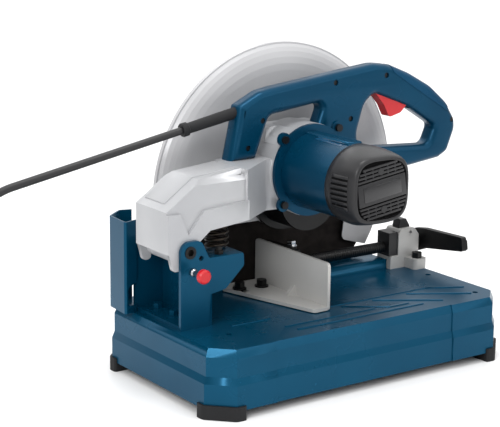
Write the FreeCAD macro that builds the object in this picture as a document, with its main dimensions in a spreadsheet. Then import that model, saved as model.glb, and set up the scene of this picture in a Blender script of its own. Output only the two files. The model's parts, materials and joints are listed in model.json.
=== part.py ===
import FreeCAD, Part
import math
import os

# Abrasive chop saw, in millimetres.  +Z is up, +X points at the operator, -Y is the motor side.
# The origin is on the floor, under the middle of the base.

V = FreeCAD.Vector
doc = FreeCAD.newDocument("ChopSaw")
dims = doc.addObject("Spreadsheet::Sheet", "dims")

DRIVING = [
    ("base_length", 480), ("base_width", 279), ("base_top", 88), ("base_bottom", 12),
    ("base_corner", 29), ("sheet", 3.5), ("foot_height", 18), ("foot_proud", 3.5),
    ("bench_hole_x", 214), ("bench_hole_y", 114), ("bench_hole_radius", 4.25),
    ("pivot_x", -211), ("pivot_z", 187), ("pivot_pin_radius", 8), ("bracket_plate", 5),
    ("bracket_near", -35), ("bracket_far", 80), ("arm_near", -29.7), ("arm_far", 47),
    ("motor_x", 4.8), ("motor_z", 261.6), ("spindle_x", 22), ("spindle_z", 220),
    ("case_radius", 62), ("wheel_radius", 177.5), ("wheel_thickness", 3), ("wheel_plane", 108),
    ("wheel_bore", 12.7), ("guard_radius", 198.5), ("guard_near", 92), ("guard_far", 124),
    ("guard_seam", 106), ("guard_edge_z", 178), ("guard_sheet", 2), ("retracting_radius", 186),
    ("fence_x", -14), ("fence_height", 64), ("fence_sheet", 4.5), ("fence_lift", 1.3),
    ("vice_y", 67), ("vice_z", 118),
    ("vice_spindle_radius", 8), ("handle_y", 38), ("handle_half", 14), ("handle_wall", 4),
    ("cord_radius", 5), ("cap_length", 53), ("motor_radius", 50), ("gear_module", 1.5),
    ("pinion_teeth", 10), ("gear_teeth", 50), ("spring_radius", 13.5), ("spring_wire", 4),
    ("coil_x", -640), ("coil_y", 93), ("coil_radius", 55),
]
for line, (alias, number) in enumerate(DRIVING, 1):
    dims.set("A%d" % line, alias)
    dims.set("B%d" % line, str(number))
    dims.setAlias("B%d" % line, alias)
doc.recompute()


def size(alias):
    return float(dims.get(alias))


PIVOT_X, PIVOT_Z = size("pivot_x"), size("pivot_z")
MOTOR_X, MOTOR_Z = size("motor_x"), size("motor_z")
SPINDLE_X, SPINDLE_Z = size("spindle_x"), size("spindle_z")
TOP = size("base_top")
WHEEL_Y = size("wheel_plane")
HANDLE_Y = size("handle_y")
VICE_Y, VICE_Z = size("vice_y"), size("vice_z")
COIL_X, COIL_Y = size("coil_x"), size("coil_y")
CLEAR = 0.05
LOOK = {
    "X": FreeCAD.Rotation(V(1, 1, 1), 120),
    "Y": FreeCAD.Rotation(V(1, 0, 0), 90),
    "Z": FreeCAD.Rotation(),
}
ROD_TURN = {
    "X": FreeCAD.Rotation(V(0, 1, 0), 90),
    "Y": FreeCAD.Rotation(V(1, 0, 0), -90),
    "Z": FreeCAD.Rotation(),
}
nodes = {}


def keep(name, item):
    """Give a finished sub-part its Label, which names its file."""
    item.Label = name
    nodes[name] = item
    return item


# ---------------------------------------------------------------- sketch and solid helpers

def corner_arc(before, corner, after, radius):
    """Tangent points and middle of the arc that rounds one corner."""
    back = (before - corner).normalize()
    ahead = (after - corner).normalize()
    half = back.getAngle(ahead) / 2
    reach = radius / math.tan(half)
    middle_line = (back + ahead).normalize()
    centre = corner + middle_line * (radius / math.sin(half))
    return corner + back * reach, centre - middle_line * radius, corner + ahead * reach


def loop_edges(corners):
    """Lines and arcs of a closed outline; a corner is (x, y) or (x, y, radius)."""
    points = [V(c[0], c[1], 0) for c in corners]
    stops = []
    for i, corner in enumerate(corners):
        if len(corner) > 2 and corner[2] > 0:
            before, after = points[i - 1], points[(i + 1) % len(points)]
            stops.append(corner_arc(before, points[i], after, corner[2]))
        else:
            stops.append((points[i], None, points[i]))
    edges = []
    for i, (start, middle, end) in enumerate(stops):
        if middle is not None:
            edges.append(Part.Arc(start, middle, end))
        following = stops[(i + 1) % len(stops)][0]
        if end.distanceToPoint(following) > 1e-6:
            edges.append(Part.LineSegment(end, following))
    return edges


def sketch_on(body, outlines, height=0, plane="XY_Plane"):
    """A sketch on one of the body's own origin planes; a circle is (x, y, radius) in a tuple."""
    sketch = body.newObject("Sketcher::SketchObject", "Sketch")
    origin_plane = [f for f in body.Origin.OriginFeatures if f.Role == plane][0]
    sketch.AttachmentSupport = [(origin_plane, "")]
    sketch.MapMode = "FlatFace"
    sketch.AttachmentOffset = FreeCAD.Placement(V(0, 0, height), FreeCAD.Rotation())
    for outline in outlines:
        if isinstance(outline, tuple):
            centre = V(outline[0], outline[1], 0)
            sketch.addGeometry(Part.Circle(centre, V(0, 0, 1), outline[2]), False)
        else:
            sketch.addGeometry(loop_edges(outline), False)
    return sketch


def seat(item, axis, start):
    """Stand a body's local Z along an axis, with its first face at start (its last one for Y)."""
    base = {"X": V(start, 0, 0), "Y": V(0, start, 0), "Z": V(0, 0, start)}[axis]
    item.Placement = FreeCAD.Placement(base, LOOK[axis])


def prism(outlines, low, high, axis="Y", length=None):
    """A pad of an outline: (x, z) along Y, (y, z) along X, (x, y) along Z.  length is a sheet formula."""
    body = doc.addObject("PartDesign::Body", "Prism")
    sketch = sketch_on(body, outlines)
    pad = body.newObject("PartDesign::Pad", "Pad")
    pad.Profile = sketch
    pad.Length = high - low
    if length:
        pad.setExpression("Length", length)
    seat(body, axis, high if axis == "Y" else low)
    return body


def turned(profile, u, v, axis="Y"):
    """A revolved profile of (radius, place along the axis) corners, round an axis through (u, v)."""
    body = doc.addObject("PartDesign::Body", "Turned")
    sketch = sketch_on(body, [profile])
    spin = body.newObject("PartDesign::Revolution", "Revolution")
    spin.Profile = sketch
    spin.ReferenceAxis = (sketch, ["V_Axis"])
    spin.Angle = 360
    turn = {"Y": FreeCAD.Rotation(), "X": FreeCAD.Rotation(V(0, 0, 1), -90),
            "Z": FreeCAD.Rotation(V(1, 0, 0), 90)}[axis]
    base = {"Y": V(u, 0, v), "X": V(0, u, v), "Z": V(u, v, 0)}[axis]
    body.Placement = FreeCAD.Placement(base, turn)
    return body


def rod(radius, low, high, u, v, axis="Y"):
    """A cylinder along an axis through (u, v); radius may be a sheet formula."""
    item = doc.addObject("Part::Cylinder", "Rod")
    if isinstance(radius, str):
        item.setExpression("Radius", radius)
    else:
        item.Radius = radius
    item.Height = high - low
    base = {"X": V(low, u, v), "Y": V(u, low, v), "Z": V(u, v, low)}[axis]
    item.Placement = FreeCAD.Placement(base, ROD_TURN[axis])
    return item


def brick(x, y, z):
    """A box between pairs of X, Y and Z."""
    item = doc.addObject("Part::Box", "Brick")
    item.Length, item.Width, item.Height = x[1] - x[0], y[1] - y[0], z[1] - z[0]
    item.Placement.Base = V(x[0], y[0], z[0])
    return item


def fuse(*items):
    joined = doc.addObject("Part::MultiFuse", "Fuse")
    joined.Shapes = list(items)
    joined.Refine = True
    return joined


def cut(base, *tools):
    """base less its tools."""
    cutting = doc.addObject("Part::Cut", "Cut")
    cutting.Base = base
    cutting.Tool = tools[0] if len(tools) == 1 else fuse(*tools)
    cutting.Refine = True
    return cutting


def common(first, second):
    shared = doc.addObject("Part::Common", "Common")
    shared.Base, shared.Tool = first, second
    return shared


def group(*items):
    """Separate solids that share one node."""
    gathered = doc.addObject("Part::Compound", "Group")
    gathered.Links = list(items)
    return gathered


def rounded(base, radius, wanted):
    """Fillet the edges for which wanted(edge) is true."""
    doc.recompute()
    fillet = doc.addObject("Part::Fillet", "Fillet")
    fillet.Base = base
    fillet.Edges = [(i, radius, radius) for i, edge in enumerate(base.Shape.Edges, 1) if wanted(edge)]
    return fillet


def tube(radius, bore, low, high, u, v, axis="Y"):
    return turned([(bore, low), (radius, low), (radius, high), (bore, high)], u, v, axis)


def hexagon(across, u, v):
    """Corners of a hexagon with a flat-to-flat size."""
    reach = across / 2 / math.cos(math.pi / 6)
    return [(u + reach * math.cos(math.pi / 3 * k), v + reach * math.sin(math.pi / 3 * k)) for k in range(6)]


def placed(item, base, axis, angle, pivot=V(0, 0, 0)):
    """Turn an item about a line through pivot, then move it."""
    turn = FreeCAD.Placement(base, FreeCAD.Rotation(axis, angle), pivot)
    item.Placement = turn.multiply(item.Placement)
    return item


# ---------------------------------------------------------------- base

BASE_STEPS = [(12, 0), (44, 0), (53, 3.2), (77.5, 3.2), (88, 7.4)]
SLOT_X, SLOT_Y = (-118, 155), (100, 116)
PLATEAU_X, PLATEAU_Y, PLATEAU_TOP = (8, 184), (57, 97), 102


def octagon(inset):
    """The base's plan with cut corners, drawn in by inset."""
    x, y = size("base_length") / 2 - inset, size("base_width") / 2 - inset
    cut_back = size("base_corner") - inset * (2 - math.sqrt(2))
    return [(x, -y + cut_back), (x, y - cut_back), (x - cut_back, y), (-x + cut_back, y),
            (-x, y - cut_back), (-x, -y + cut_back), (-x + cut_back, -y), (x - cut_back, -y)]


def base_skin(body, kind, inset, drop):
    """One ruled loft through the base's levels."""
    sketches = [sketch_on(body, [octagon(step + inset)], level - drop) for level, step in BASE_STEPS]
    loft = body.newObject(kind, "Loft")
    loft.Profile = sketches[0]
    loft.Sections = sketches[1:]
    loft.Ruled = True
    return loft


def bench_holes(low, high):
    x, y = size("bench_hole_x"), size("bench_hole_y")
    return [rod("dims.bench_hole_radius", low, high, sx * x, sy * y, "Z") for sx in (-1, 1) for sy in (-1,
                                                                                                       1)]


def corner_blocks(reach, low, high):
    x, y = size("base_length") / 2, size("base_width") / 2
    return fuse(*[brick(sorted((sx * (x + 9), sx * (x - reach))), sorted((sy * (y + 9), sy * (y - reach))),
                        (low, high)) for sx in (-1, 1) for sy in (-1, 1)])


def make_ribs():
    """Raised ribs on the table: long ones along X and slanted ones between them."""
    low, high, half = TOP - 1, TOP + 1.2, 1.5
    ribs = []
    for start, end, y in ((-160, -101, -51), (-4, 162, -51), (-104, 42, -89), (64, 96, -94),
                          (-98, 110, -107)):
        ribs.append(brick((start, end), (y - half, y + half), (low, high)))
    for x1, y1, x2, y2 in ((162, -50, 212, -76), (122, -59, 199, -105), (63, -58, 144, -109),
                           (10, -59, 64, -94)):
        rib = brick((0, math.hypot(x2 - x1, y2 - y1)), (-half, half), (low, high))
        ribs.append(placed(rib, V(x1, y1, 0), V(0, 0, 1), math.degrees(math.atan2(y2 - y1, x2 - x1))))
    return ribs


def side_recess(side):
    """Shallow panel pressed into the middle of a long side, following the side's steps."""
    depth, y = 1.5, size("base_width") / 2
    face = [(side * (y - step - depth), level) for level, step in BASE_STEPS]
    face[0] = (face[0][0], face[0][1] - 1)
    face[-1] = (face[-1][0], face[-1][1] + 0.5)
    outline = face + [(side * (y + 5), TOP + 0.5), (side * (y + 5), 11)]
    return prism([outline], -151, 138, "X")


def make_base():
    body = doc.addObject("PartDesign::Body", "BaseBody")
    sheet = size("sheet")
    base_skin(body, "PartDesign::AdditiveLoft", 0, 0)
    doc.recompute()
    base_skin(body, "PartDesign::SubtractiveLoft", sheet, sheet)
    doc.recompute()
    plateau = brick(PLATEAU_X, PLATEAU_Y, (TOP - sheet, PLATEAU_TOP))
    hollow = brick([PLATEAU_X[0] + sheet, PLATEAU_X[1] - sheet],
                   [PLATEAU_Y[0] + sheet, PLATEAU_Y[1] - sheet],
                   (TOP - sheet - 1, PLATEAU_TOP - sheet))
    slot = prism([[(SLOT_X[0], SLOT_Y[0], 7), (SLOT_X[1], SLOT_Y[0], 7), (SLOT_X[1], SLOT_Y[1], 7),
                   (SLOT_X[0], SLOT_Y[1], 7)]], TOP - 10, TOP + 10, "Z")
    holes = [rod(4, TOP - 5, TOP + 5, x, y, "Z") for x, y in [(213, -1), (207, -104), (-181, -76)]]
    holes += [rod(3.3, TOP - 5, TOP + 1, -200, y, "Z") for y in (-15, 22, 60)]
    holes += [rod(2.4, TOP - 5, TOP + 1, -231, y, "Z") for y in (84, 98)]
    tab_plan = prism([octagon(1)], size("base_bottom"), size("base_bottom") + sheet, "Z")
    tabs = common(tab_plan, corner_blocks(42, 0, 40))
    shell = fuse(body, plateau, tabs, *make_ribs())
    tools = [hollow, slot, side_recess(-1), side_recess(1)] + holes + bench_holes(5, 20)
    return keep("base_tray", cut(shell, *tools))


def make_feet():
    """Rubber pads under and around the four cut corners, with the bench bolts' holes through them."""
    pad = prism([octagon(-size("foot_proud"))], 0, size("foot_height"), "Z", "dims.foot_height")
    inside = prism([octagon(0)], size("base_bottom"), 40, "Z")
    pads = common(cut(pad, inside), corner_blocks(42, -1, 40))
    return keep("rubber_feet", cut(pads, *bench_holes(-1, 20)))


def bracket_plate(near):
    """Side plate of the pivot bracket; the near one has the wing that carries the spring shelf."""
    lug = 14
    rear, web = PIVOT_X - lug, -183
    top = [(rear, TOP), (rear, PIVOT_Z + lug, 13.8), (PIVOT_X + 16, PIVOT_Z + lug, 12)]
    if near:
        front = [(-183, 176.5, 4), (-131, 176.5, 3), (-130, 160, 6), (-158, 133, 6), (web, 129, 4),
                 (web, TOP)]
    else:
        front = [(web, 172, 4), (web, TOP)]
    holes = [(PIVOT_X, PIVOT_Z, size("pivot_pin_radius") + CLEAR)]
    if near:
        holes += [(-195, 178, 3.4), (-208, 162, 5 + CLEAR)]
    y = size("bracket_near") if near else size("bracket_far") - size("bracket_plate")
    return prism([top + front] + holes, y, y + size("bracket_plate"), "Y", "dims.bracket_plate")


def make_bracket():
    near, far = size("bracket_near"), size("bracket_far")
    floor_plate = brick((-223, -178), (near + 1, far - 1), (TOP, TOP + 4))
    web = brick((-183, -178), (near + 1, far - 1), (TOP, 168))
    shelf = brick((-172, -131.5), (near + 1, 20), (171.5, 176.5))
    screw_holes = [rod(3.3, TOP - 1, TOP + 5, -200, y, "Z") for y in (-15, 22, 60)]
    stop_hole = rod(4.05, 165, 180, -161, -23, "Z")
    body = fuse(bracket_plate(True), bracket_plate(False), floor_plate, web, shelf)
    return keep("pivot_bracket", cut(body, stop_hole, *screw_holes))


def make_pivot():
    near, far = size("bracket_near"), size("bracket_far")
    pin = rod("dims.pivot_pin_radius", near - 1, far + 6, PIVOT_X, PIVOT_Z)
    socket = prism([hexagon(8, PIVOT_X, PIVOT_Z)], near - 2, near + 4)
    clip = tube(12, 8, far + 0.2, far + 2, PIVOT_X, PIVOT_Z)
    keep("pivot_pin", cut(pin, socket))
    keep("pivot_clip", clip)


def cap_screw(x, y, seat_z, head, depth, height):
    """Upright hexagon screw: head above seat_z, shank below it."""
    top = prism([hexagon(head, x, y)], seat_z, seat_z + height, "Z")
    shank = rod(head * 0.3, seat_z - depth, seat_z, x, y, "Z")
    return fuse(top, shank)


def make_chute():
    """Bent sheet that catches the sparks behind the wheel."""
    t = 2
    outer = [(-225.5, 70.4), (-246, 64), (-243, 109), (-216, 131), (-200, 126)]
    inner = [(-200.6, 124), (-215.6, 128.8), (-241, 108), (-243.8, 66.7), (-226.1, 72.3)]
    plan = [(x, y, 3 if abs(x) > 210 and x < -230 else 0) for x, y in outer]
    plan += [(x, y, 1.5 if x < -230 else 0) for x, y in inner]
    sheet = prism([plan], TOP, 210, "Z")
    window = placed(prism([[(-12, 98, 4), (8, 98, 4), (6, 128, 4), (-12, 122, 4)]], -8, 8),
                    V(-230, 70, 0), V(0, 0, 1), 17)
    foot = brick((-243, -225.3), (78, 104), (TOP, TOP + t))
    foot_holes = [rod(2.6, TOP - 1, TOP + 4, -231, y, "Z") for y in (84, 98)]
    keep("spark_chute", cut(fuse(sheet, foot), window, *foot_holes))
    return [cap_screw(-231, y, TOP + t, 8, 5, 3.5) for y in (84, 98)]


def make_spring_and_stop(chute_screws):
    pitch, low, high, reach, wire = 7.5, 176.7, 228.8, size("spring_radius"), size("spring_wire")
    turns_edge = Part.makeHelix(pitch, high - low - wire, reach)
    turns_edge.translate(V(-149, 0, low + wire / 2))
    start = turns_edge.Edges[0].valueAt(turns_edge.Edges[0].FirstParameter)
    section = Part.Wire(Part.makeCircle(wire / 2, start, V(0, 1, 0)))
    coil = doc.addObject("Part::Feature", "Coil")
    coil.Shape = Part.Wire(turns_edge).makePipeShell([section], True, True)
    keep("return_spring", coil)
    screw = fuse(rod(4, 160, 186, -161, -23, "Z"), prism([hexagon(11, -161, -23)], 160, 166, "Z"))
    nut = prism([hexagon(11, -161, -23), (-161, -23, 4.05)], 176.6, 181, "Z")
    keep("depth_stop", group(screw, nut))
    floor_screws = [cap_screw(-200, y, TOP + 4, 11, 8, 6) for y in (-15, 22, 60)]
    keep("base_screws", group(*(floor_screws + chute_screws)))


def make_lock_pin():
    near = size("bracket_near")
    shaft = turned([(0, near - 21), (3.5, near - 21), (3.5, near - 6), (5, near - 4), (5, near + 4.5),
                    (0, near + 4.5)], -208, 162)
    keep("lock_pin", shaft)
    button = turned([(0, near - 30), (7, near - 30), (9, near - 28), (9, near - 23), (7, near - 21.1),
                     (0, near - 21.1)], -208, 162)
    keep("lock_pin_button", button)


# ---------------------------------------------------------------- fence and vice

def make_fence():
    """Angle plate with an upright face along Y; its foot has a pivot bolt and a bolt in an arc slot."""
    t, x = size("fence_sheet"), size("fence_x")
    low = TOP + size("fence_lift")
    top = TOP + size("fence_height")
    pivot, radius = (-33, 62), 33.4
    slot_arc = []
    for reach, angles in ((radius - 5.2, range(141, 202, 5)), (radius + 5.2, range(201, 140, -5))):
        slot_arc += [(pivot[0] + reach * math.cos(math.radians(a)),
                      pivot[1] + reach * math.sin(math.radians(a)))
                     for a in angles]
    foot = prism([[(x, -65, 5), (x, 98), (x - 58, 98, 18), (-82, 84, 6), (-40, -67, 6)], (*pivot, 5.05),
                  slot_arc],
                 low, low + t, "Z")
    wall = prism([[(-65, low, 2), (98, low, 2), (98, top, 5), (-65, top, 6)]], x - t, x, "X",
                 "dims.fence_sheet")
    gusset = placed(prism([[(0, 0), (14, 0), (0, 14)]], -3, 3), V(x - t + 0.1, 8, low + t - 0.1),
                    V(0, 0, 1), 180)
    keep("fence_plate", fuse(foot, wall, gusset))
    bolts = []
    for bx, by in (pivot, (-66, 67)):
        washer = rod(9.5, low + t + 0.05, low + t + 2, bx, by, "Z")
        head = prism([hexagon(13, bx, by)], low + t + 2, low + t + 10, "Z")
        shank = rod(5, TOP + 0.1, low + t + 2, bx, by, "Z")
        bolts.append(fuse(washer, head, shank))
    keep("fence_bolts", group(*bolts))


def make_vice():
    bore = size("vice_spindle_radius") + CLEAR
    body = prism([[(186, TOP), (238, TOP), (238, 134, 4), (229, 145, 5), (204, 145, 5), (200, 138, 3),
                   (200, 107), (186, 107, 3)]], 50, 80)
    near_lug = prism([[(213, 28, 6), (237, 28, 6), (237, 52), (213, 52)]], TOP, TOP + 15, "Z")
    far_lug = prism([[(201, 79), (236, 79), (236, 100, 6), (201, 100, 6)]], TOP, TOP + 15, "Z")
    tunnel = rod(bore, 190, 250, VICE_Y, VICE_Z, "X")
    latch_slot = brick((205.5, 230.5), (57, 73), (130, 160))
    pin_x, pin_z = 222, 139
    pin_hole = rod(2, 48, 82, pin_x, pin_z)
    bolt_holes = [rod(4.2, TOP - 1, TOP + 20, 225, y, "Z") for y in (38, 90)]
    keep("vice_block", cut(fuse(body, far_lug, near_lug), tunnel, latch_slot, pin_hole, *bolt_holes))
    keep("vice_block_bolts", group(*[cap_screw(225, y, TOP + 15, 13, 14, 8) for y in (38, 90)]))
    keep("vice_nut_cover", cut(brick((184, 199.9), (52, 78), (107.2, 141)),
                               rod(bore, 180, 205, VICE_Y, VICE_Z, "X")))
    latch = prism([[(207, 134.5), (226, 134.5, 4.4), (226, 147, 4), (219, 158, 3), (209, 158, 3),
                    (207, 148, 2)]],
                  57.5, 72.5)
    keep("quick_release_latch", cut(latch, rod(2 + CLEAR, 50, 80, pin_x, pin_z)))
    keep("latch_pin", rod(2, 49, 81, pin_x, pin_z))
    # the screw runs through the nut; its tip turns in the carrier, its other end holds the crank
    screw = turned([(0, 23), (6, 23), (6, 34.1), (8, 34.2), (8, 247), (5, 247), (5, 256), (0, 256)],
                   VICE_Y, VICE_Z, "X")
    keep("vice_spindle", screw)
    tilt = 9
    lever = prism([[(-100, -10, 3), (-20, -9, 6), (-6, -13, 6), (16, -13, 10), (16, 13, 10), (2, 20, 8),
                    (-20, 20, 20), (-100, 10, 4)]], 0, 9, "X")
    lever = cut(lever, rod(5, -1, 10, 0, 0, "X"))
    keep("crank_lever", placed(lever, V(247, VICE_Y, VICE_Z), V(1, 0, 0), -tilt))
    grip = prism([[(-98, -9, 2), (-20, -8, 2), (-20, 12, 2), (-98, 5, 2)]], 9, 12.5, "X")
    keep("crank_grip", placed(grip, V(247, VICE_Y, VICE_Z), V(1, 0, 0), -tilt))
    make_jaw(20)


def make_jaw(bolt_x):
    """Jaw with an upper ear that swivels on an upright bolt in the carrier."""
    carrier = prism([[(12, 110, 2), (34, 110, 2), (34, 130.7, 2), (12, 130.7, 2)]], VICE_Y - 9, VICE_Y + 9)
    tip_bore = rod(6 + CLEAR, 22.8, 40, VICE_Y, VICE_Z, "X")
    bolt_bore = rod(4, 124.6, 135, bolt_x, VICE_Y, "Z")
    keep("jaw_carrier", cut(carrier, tip_bore, bolt_bore))
    pad = prism([[(0, 105, 2), (8.5, 105), (8.5, 146), (0, 146, 2)]], 30, 96)
    ear = prism([[(8, VICE_Y - 10), (22, VICE_Y - 10, 8), (30, VICE_Y, 6), (22, VICE_Y + 10, 8),
                  (8, VICE_Y + 10)]], 131, 143, "Z")
    keep("vice_jaw", cut(fuse(pad, ear), rod(4 + CLEAR, 125, 150, bolt_x, VICE_Y, "Z")))
    keep("jaw_pivot_bolt", fuse(rod(4, 124.6, 144, bolt_x, VICE_Y, "Z"),
                                rod(8, 143.1, 145, bolt_x, VICE_Y, "Z"),
                                prism([hexagon(11, bolt_x, VICE_Y)], 145, 150, "Z")))


# ---------------------------------------------------------------- arm casting, guard

def hood_outline(inset):
    """Side view of the rear hood; inset draws the roof and the rear wall in."""
    return [(-240 + inset, 186 - inset), (-240 + inset, 239 - inset * 0.4),
            (-190 + inset * 0.3, 274 - inset * 1.1), (-119 - inset, 281 - inset),
            (-119 - inset, 216 - inset),
            (-178, 210 - inset), (-193, 198 - inset), (-198, 186 - inset)]


def make_arm():
    near, far = size("arm_near"), size("arm_far")
    hood = prism([hood_outline(0)], near, far)
    # the roof's near edge and the side above the lower tier are bevelled
    near_bevel = prism([[(near - 1, 262), (near - 1, 300), (near + 34, 300)]], -260, -100, "X")
    far_bevel = prism([[(far + 1, 268), (far + 1, 300), (far - 26, 300)]], -260, -100, "X")
    tier = prism([[(-260, 236), (-222, 236), (-210, 208), (-187, 236), (-100, 243), (-100, 320),
                   (-260, 320)]],
                 near - 1, near + 4.5)
    legs = [prism([[(-240, 190), (-224, 190), (-221, 164, 5), (-233, 164, 5)]], y, y + 6) for y in (near,
                                                                                                    far - 6)]
    outside = fuse(cut(hood, near_bevel, far_bevel, tier), *legs)
    cavity = prism([hood_outline(6)], near + 10, far - 6)
    cavity_low = brick((-234, -198), (near + 10, far - 6), (170, 200))
    post = rod(19, 229, 272, -149, 0, "Z")
    barrel = fuse(rod(19, near, far, PIVOT_X, PIVOT_Z), rod(13, far - 1, size("bracket_far") - 5.2,
                                                            PIVOT_X, PIVOT_Z))
    barrel_web = prism([[(-226, 190), (-198, 190), (-190, 205), (-232, 205)]], near, far)
    shell = cut(outside, cavity, cavity_low)
    # bent link between the hood and the gear case, in plan
    link_plan = [(-122, near), (-62, 15, 14), (-30, 15), (-30, 62), (-70, 62, 16), (-122, far)]
    link = prism([link_plan], 212, 281, "Z")
    link_core = prism([[(-125, near + 7), (-64, 22, 10), (-40, 22), (-40, 56), (-72, 56, 12),
                        (-125, far - 6)]],
                      205, 275, "Z")
    link_shape = cut(link, link_core)
    low_trim = prism([[(-130, 200), (-130, 215), (-40, 212), (-20, 190)]], -40, 70)
    gear_case = rod("dims.case_radius", 8.2, 60, MOTOR_X, MOTOR_Z)
    spindle_case = rod(48, 30, 76, SPINDLE_X, SPINDLE_Z)
    roof_block = prism([[(-50, 262), (-42, 318, 8), (52, 318, 10), (62, 262)]], 42, 76)
    gear_room = rod(41.5, 60, 77, SPINDLE_X, SPINDLE_Z)
    pinion_room = rod(11.5, 58, 77, MOTOR_X, MOTOR_Z)
    shaft_bore = rod(8.6, 0, 60, MOTOR_X, MOTOR_Z)
    bearing_seat = rod(13, 40, 52, MOTOR_X, MOTOR_Z)
    fan_room = rod(46, 7, 16, MOTOR_X, MOTOR_Z)
    blind_seat = rod(11, 51.9, 61, SPINDLE_X, SPINDLE_Z)
    pin_bore = rod(size("pivot_pin_radius") + CLEAR, near - 5, 90, PIVOT_X, PIVOT_Z)
    lock_bore = rod(4 + CLEAR, 36, 80, 56, SPINDLE_Z, "X")
    solid = fuse(shell, post, barrel, barrel_web, link_shape, gear_case, spindle_case, roof_block)
    casting = cut(solid, low_trim, gear_room, pinion_room, shaft_bore, bearing_seat, fan_room, blind_seat,
                  pin_bore,
                  lock_bore)
    keep("arm_casting", casting)
    button = fuse(rod(4, 38, 72, 56, SPINDLE_Z, "X"), rod(7, 72, 80, 56, SPINDLE_Z, "X"))
    keep("spindle_lock_button", button)


def guard_screw_places():
    return [(SPINDLE_X + 51.5 * math.cos(math.radians(a)), SPINDLE_Z + 51.5 * math.sin(math.radians(a)))
            for a in (15, 60, 120, 165, 200)]


def make_case_cover():
    """Plate that closes the gear case, carries the spindle bearing and the guard's pivot nose."""
    plate = fuse(rod(48, 76, 90, SPINDLE_X, SPINDLE_Z), rod(57, 84, 92, SPINDLE_X, SPINDLE_Z),
                 rod(22, 76, 84, MOTOR_X, MOTOR_Z))
    nose = rod(46, 90, 101, SPINDLE_X, SPINDLE_Z)
    room = rod(40, 92, 102, SPINDLE_X, SPINDLE_Z)
    bearing = rod(17.5, 79.2, 93, SPINDLE_X, SPINDLE_Z)
    shaft = rod(10.5, 75, 93, SPINDLE_X, SPINDLE_Z)
    tip = rod(6.5, 75, 80, MOTOR_X, MOTOR_Z)
    threads = [rod(2, 86, 93, u, v) for u, v in guard_screw_places()]
    keep("gear_case_cover", cut(fuse(plate, nose), room, bearing, shaft, tip, *threads))


def make_guard():
    seam, near, far, big = size("guard_seam"), size("guard_near"), size("guard_far"), size("guard_radius")
    t, flat = size("guard_sheet"), 0.82 * size("guard_radius")
    steps = [i / 6 for i in range(1, 7)]

    def dome(bottom, rise, radius):
        return [(flat + (radius - flat) * math.sin(math.pi / 2 * s), seam + rise * math.cos(math.pi / 2 * s)
                 - bottom) for s in steps]

    for name, face, sign, bore in (("guard_inner_shell", near, -1, 46.3), ("guard_outer_shell", far, 1, 26)):
        depth = face - seam
        outer = dome(0, depth, big)
        inner = dome(0, depth - sign * t, big - t)
        profile = [(bore, face), (flat, face)] + outer + inner[::-1] + [(flat, face - sign * t),
                                                                        (bore, face - sign * t)]
        bead = [(big - t, seam), (big + 1.2, seam), (big + 1.2, seam + sign * 3), (big - t, seam + sign * 3)]
        shell = fuse(turned(profile, SPINDLE_X, SPINDLE_Z), turned(bead, SPINDLE_X, SPINDLE_Z))
        below = brick((-250, 300), (80, 140), (-60, size("guard_edge_z")))
        shell = cut(shell, below)
        if sign < 0:
            shell = cut(shell, *[rod(2.1, 90, 96, u, v) for u, v in guard_screw_places()])
        keep(name, shell)
    keep("guard_screws", group(*[fuse(rod(3.5, near + t, near + t + 2.2, u, v), rod(2, 87, near + t, u, v))
                                 for u, v in guard_screw_places()]))


def make_retracting_guard():
    """Inner guard: two cheeks and a rim between them, hung on the cover's nose."""
    reach, t = size("retracting_radius"), 1.5
    start, stop = -33.5, 42
    near_y, far_y = 98.4, 115.2

    def arc_points(radius, first, last, count):
        return [(SPINDLE_X + radius * math.cos(math.radians(first + (last - first) * i / count)),
                 SPINDLE_Z + radius * math.sin(math.radians(first + (last - first) * i / count)))
                for i in range(count + 1)]

    outer = arc_points(reach, start, stop, 12)
    inner = arc_points(reach - t, start, stop, 12)
    mouth = arc_points(132, start + 4, stop, 6)
    tip = (SPINDLE_X + 143 * math.cos(math.radians(-39)), SPINDLE_Z + 143 * math.sin(math.radians(-39)), 9)
    rim = prism([outer + inner[::-1]], near_y, far_y + t)
    cheek = outer + mouth[::-1] + [tip]
    spoke = prism([[(SPINDLE_X + 30, SPINDLE_Z - 10), (SPINDLE_X + 125, SPINDLE_Z - 16),
                    (SPINDLE_X + 125, SPINDLE_Z + 40), (SPINDLE_X + 30, SPINDLE_Z + 30)]], near_y,
                  near_y + t)
    hub = tube(56, 46.15, near_y, near_y + t, SPINDLE_X, SPINDLE_Z)
    clear_hub = rod(46.15, near_y - 1, near_y + 3, SPINDLE_X, SPINDLE_Z)
    keep("retracting_guard", cut(fuse(rim, prism([cheek], near_y, near_y + t),
                                      prism([cheek], far_y, far_y + t),
                                      spoke, hub), clear_hub))


# ---------------------------------------------------------------- motor, gears, wheel

def gear_outline(teeth, phase, addendum, backlash):
    """Involute spur outline round (0, 0) with a tooth centred on phase."""
    module = size("gear_module")
    pitch_r = module * teeth / 2
    base_r = pitch_r * math.cos(math.radians(20))
    tip_r, root_r = pitch_r + addendum * module, pitch_r - 1.2 * module

    def lag(radius):
        tilt = math.acos(min(1, base_r / radius))
        return math.tan(tilt) - tilt

    half = math.pi / 2 / teeth - backlash / 2 / pitch_r + lag(pitch_r)
    points = []
    for k in range(teeth):
        middle = phase + 2 * math.pi * k / teeth
        low = max(base_r, root_r)
        radii = [low + (tip_r - low) * i / 3 for i in range(4)]
        rise = [(r, middle - half + lag(r)) for r in radii]
        fall = [(r, middle + half - lag(r)) for r in reversed(radii)]
        flank = rise + fall
        if root_r < base_r:
            flank = [(root_r, rise[0][1])] + flank + [(root_r, fall[-1][1])]
        points += [(r * math.cos(a), r * math.sin(a)) for r, a in flank]
    return points


def moved(points, u, v):
    return [(x + u, y + v) for x, y in points]


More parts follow.
